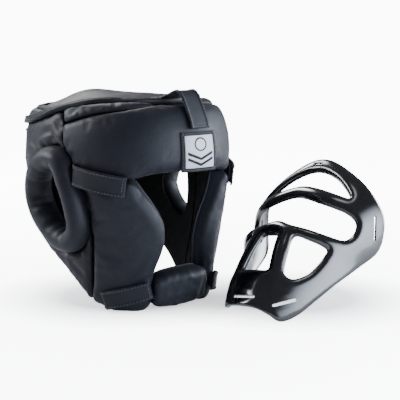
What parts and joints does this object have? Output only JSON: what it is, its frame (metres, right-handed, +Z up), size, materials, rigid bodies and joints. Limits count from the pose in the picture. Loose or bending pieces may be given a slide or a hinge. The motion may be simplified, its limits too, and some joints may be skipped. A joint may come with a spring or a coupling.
{
  "type": "boxing headgear with face guard",
  "caption": "Padded boxing headgear with ear rings, chin pad, fold-open straps and a closing strap at the back, beside its removable moulded face guard.",
  "frame": {"origin": "centre of the set's bounding box, at the surface it stands on", "axes": "+Z up, -Y the way the headgear faces, -X its wearer's right; the guard stands in front of its left side"},
  "size_m": [0.2843, 0.381, 0.2413],
  "materials": {
    "leather": "smooth matt",
    "lining": "brushed",
    "foam": "closed cells",
    "webbing": "woven",
    "tape": "hook and loop",
    "label": "satin",
    "guard": "polished"
  },
  "bodies": {
    "headgear": {"cheek_left_cover": "leather", "cheek_left_foam": "foam", "cheek_left_lining": "lining", "cheek_right_cover": "leather", "cheek_right_foam": "foam", "cheek_right_lining": "lining", "cheek_strap_left_loops": "tape", "cheek_strap_right_loops": "tape", "chin_strap_left_loops": "tape", "chin_strap_right_loops": "tape", "crown_left_cover": "leather", "crown_left_foam": "foam", "crown_rear_cover": "leather", "crown_rear_foam": "foam", "crown_right_cover": "leather", "crown_right_foam": "foam", "crown_strap_loops": "tape", "crown_top_cover": "leather", "crown_top_foam": "foam", "crown_top_lining": "lining", "ear_ring_cover_left": "leather", "ear_ring_cover_right": "leather", "ear_ring_foam_left": "foam", "ear_ring_foam_right": "foam", "forehead_cover": "leather", "forehead_foam": "foam", "forehead_lining": "lining", "label_backing": "tape", "label_face": "label", "occipital_cover": "leather", "occipital_foam": "foam", "occipital_lining": "lining", "rear_strap_loops": "tape", "side_left_cover": "leather", "side_left_foam": "foam", "side_left_lining": "lining", "side_right_cover": "leather", "side_right_foam": "foam", "side_right_lining": "lining", "stretch_panel": "webbing"},
    "cheek_strap_right": {"cheek_strap_right": "webbing", "cheek_strap_right_hooks": "tape"},
    "cheek_strap_left": {"cheek_strap_left": "webbing", "cheek_strap_left_hooks": "tape"},
    "chin_strap_right": {"chin_strap_right": "webbing", "chin_strap_right_hooks": "tape"},
    "chin_strap_left": {"chin_strap_left": "webbing", "chin_strap_left_hooks": "tape"},
    "crown_strap": {"crown_strap": "webbing", "crown_strap_hooks": "tape"},
    "rear_strap": {"rear_strap": "webbing", "rear_strap_hooks": "tape"},
    "chin_cup": {"chin_cup_cover": "leather", "chin_cup_foam": "foam", "chin_cup_lining": "lining"},
    "face_guard": {"face_guard": "guard"}
  },
  "joints": [
    {"name": "cheek_strap_right_fold", "type": "hinge", "parent": "headgear", "child": "cheek_strap_right", "pos_m": [-0.13109, 0.02037, 0.15035], "axis": [0.0262, 0.1921, -0.981], "range_deg": [0, 95]},
    {"name": "cheek_strap_left_fold", "type": "hinge", "parent": "headgear", "child": "cheek_strap_left", "pos_m": [0.08149, 0.02037, 0.15035], "axis": [0.0262, -0.1921, 0.981], "range_deg": [0, 95]},
    {"name": "chin_strap_right_fold", "type": "hinge", "parent": "headgear", "child": "chin_strap_right", "pos_m": [-0.10393, 0.00263, 0.01234], "axis": [0.2393, -0.1825, -0.9536], "range_deg": [0, 95]},
    {"name": "chin_strap_left_fold", "type": "hinge", "parent": "headgear", "child": "chin_strap_left", "pos_m": [0.05433, 0.00263, 0.01234], "axis": [0.2393, 0.1825, 0.9536], "range_deg": [0, 25]},
    {"name": "crown_strap_fold", "type": "hinge", "parent": "headgear", "child": "crown_strap", "pos_m": [-0.0248, 0.0039, 0.2352], "axis": [-1, 0, 0], "range_deg": [0, 100]},
    {"name": "rear_strap_fold", "type": "hinge", "parent": "headgear", "child": "rear_strap", "pos_m": [-0.08751, 0.16787, 0.17208], "axis": [0.0243, -0.0309, 0.9992], "range_deg": [0, 90]},
    {"name": "chin_cup_swing", "type": "hinge", "parent": "headgear", "child": "chin_cup", "pos_m": [0.01201, -0.03608, 0.0237], "axis": [0, 0, 1], "range_deg": [0, 50]},
    {"name": "face_guard_lift", "type": "slide", "parent": "headgear", "child": "face_guard", "axis": [0.6211, -0.4208, 0.6612], "range_m": [0, 0.15]}
  ]
}
